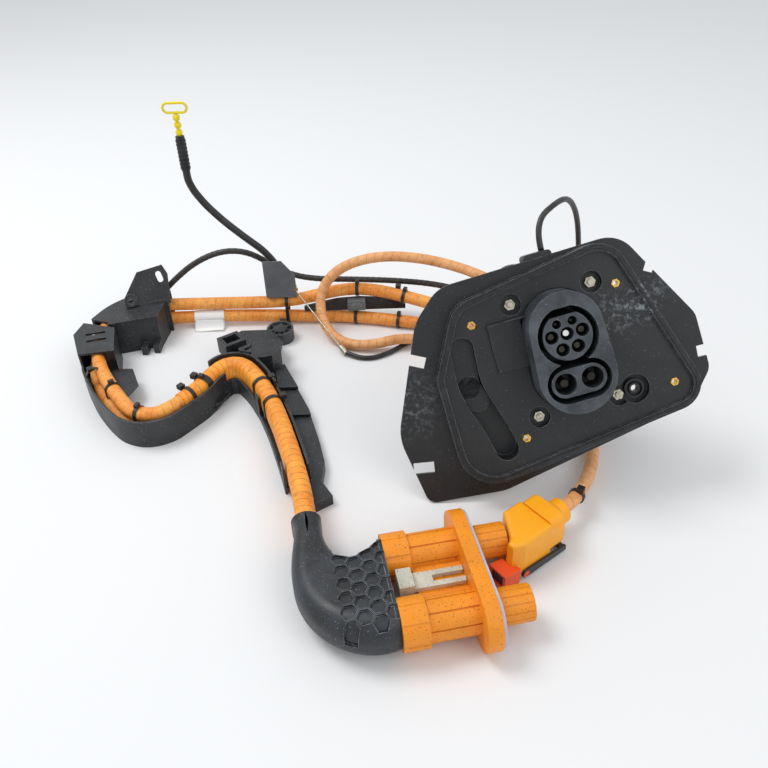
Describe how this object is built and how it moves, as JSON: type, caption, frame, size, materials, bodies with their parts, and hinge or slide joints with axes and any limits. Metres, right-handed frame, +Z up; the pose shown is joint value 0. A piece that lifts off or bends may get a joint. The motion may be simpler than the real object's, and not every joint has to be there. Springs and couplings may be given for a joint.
{
  "type": "electric vehicle charging inlet cable harness",
  "caption": "Vehicle charging inlet in a leaning black panel, with orange high-voltage cables in trays, a dual connector with elbow boot, an angled lever connector and a release pull.",
  "frame": {"origin": "on the surface the harness lies on, under the middle of the box of all but the free cords", "axes": "+X right along the long run of the cables, +Y away from the front, where the connectors lie, +Z up"},
  "size_m": [0.7556, 0.6065, 0.3229],
  "materials": {
    "panel_plastic": "fine moulded grain, scuffed",
    "housing_plastic": "fine moulded grain",
    "seal_rubber": "matt",
    "contact_silver": "plated",
    "fastener_steel": "zinc plated",
    "insert_brass": "turned",
    "dc_cable_jacket": "taped in stretches, satin",
    "ac_cable_jacket": "satin, smudged",
    "bundle_tape": "cloth tape in turns",
    "label_paper": "film",
    "tie_nylon": "moulded",
    "tray_plastic": "moulded, scuffed",
    "conduit_tape": "cloth tape",
    "release_jacket": "satin",
    "bracket_steel": "pressed, coated",
    "grip_rubber": "matt",
    "pull_plastic": "moulded",
    "plug_plastic": "moulded, speckled",
    "gasket_silicone": "matt",
    "tower_plastic": "moulded",
    "latch_plastic": "moulded",
    "boot_rubber": "moulded, dusty",
    "ac_shell_plastic": "moulded",
    "lever_plastic": "moulded",
    "lock_plastic": "moulded",
    "contact_block_plastic": "moulded"
  },
  "bodies": {
    "harness": {"ac_backshell": "ac_shell_plastic", "ac_cable": "ac_cable_jacket", "ac_cable_tie": "tie_nylon", "ac_contact_block": "contact_block_plastic", "ac_gland": "seal_rubber", "ac_lock_frame": "lock_plastic", "ac_shell": "ac_shell_plastic", "adjuster": "insert_brass", "box_latch": "tray_plastic", "bracket_bush": "fastener_steel", "bundle_ties": "tie_nylon", "cable_spacer": "tray_plastic", "cable_ties": "tie_nylon", "clip_box": "tray_plastic", "contact_sleeves": "plug_plastic", "contact_towers": "tower_plastic", "dc_cable_lower": "dc_cable_jacket", "dc_cable_upper": "dc_cable_jacket", "dc_glands": "seal_rubber", "dc_pins": "contact_silver", "disc_clip": "tray_plastic", "down_tray": "tray_plastic", "elbow_boot": "boot_rubber", "flange_gasket": "gasket_silicone", "grip_sleeve": "grip_rubber", "inlet_housing": "housing_plastic", "inlet_nuts": "fastener_steel", "inlet_rear_cover": "housing_plastic", "inlet_studs": "fastener_steel", "label_sleeve": "label_paper", "left_bracket": "tray_plastic", "lever_pivots": "fastener_steel", "lock_actuator": "housing_plastic", "metal_bracket": "bracket_steel", "mounting_panel": "panel_plastic", "peak_tray": "tray_plastic", "perimeter_seal": "seal_rubber", "plug_body": "plug_plastic", "plug_contacts": "contact_silver", "pocket_grommet": "seal_rubber", "power_pins": "contact_silver", "pull_wire": "fastener_steel", "release_cable": "release_jacket", "release_conduit": "release_jacket", "signal_conduit": "conduit_tape", "signal_pins": "contact_silver", "taped_bundle": "bundle_tape", "threaded_inserts": "insert_brass", "u_tray": "tray_plastic"},
    "lock_bolt": {"lock_pin": "fastener_steel"},
    "far_ring": {"far_bayonet_ring": "plug_plastic"},
    "near_ring": {"near_bayonet_ring": "plug_plastic"},
    "latch": {"slide_latch": "latch_plastic"},
    "connector_lever": {"ac_lever": "lever_plastic"},
    "pull_handle": {"pull_ring": "pull_plastic", "bead_stem": "pull_plastic"}
  },
  "joints": [
    {"name": "lock_pin_slide", "type": "slide", "parent": "harness", "child": "lock_bolt", "axis": [0.2504, -0.4612, -0.8512], "range_m": [0, 0.006]},
    {"name": "far_ring_turn", "type": "hinge", "parent": "harness", "child": "far_ring", "pos_m": [0.04329, -0.19762, 0.029], "axis": [0.9848, 0.1736, 0], "range_deg": [0, 40]},
    {"name": "near_ring_turn", "type": "hinge", "parent": "harness", "child": "near_ring", "pos_m": [0.05649, -0.27246, 0.029], "axis": [0.9848, 0.1736, 0], "range_deg": [0, 40]},
    {"name": "latch_slide", "type": "slide", "parent": "harness", "child": "latch", "axis": [-0.9848, -0.1736, 0], "range_m": [0, 0.006]},
    {"name": "lever_swing", "type": "hinge", "parent": "harness", "child": "connector_lever", "pos_m": [0.1549, -0.18563, 0.008], "axis": [-0.6018, 0.7986, 0], "range_deg": [0, 80]},
    {"name": "pull_slide", "type": "slide", "parent": "harness", "child": "pull_handle", "axis": [0, 0, 1], "range_m": [0, 0.015]}
  ]
}
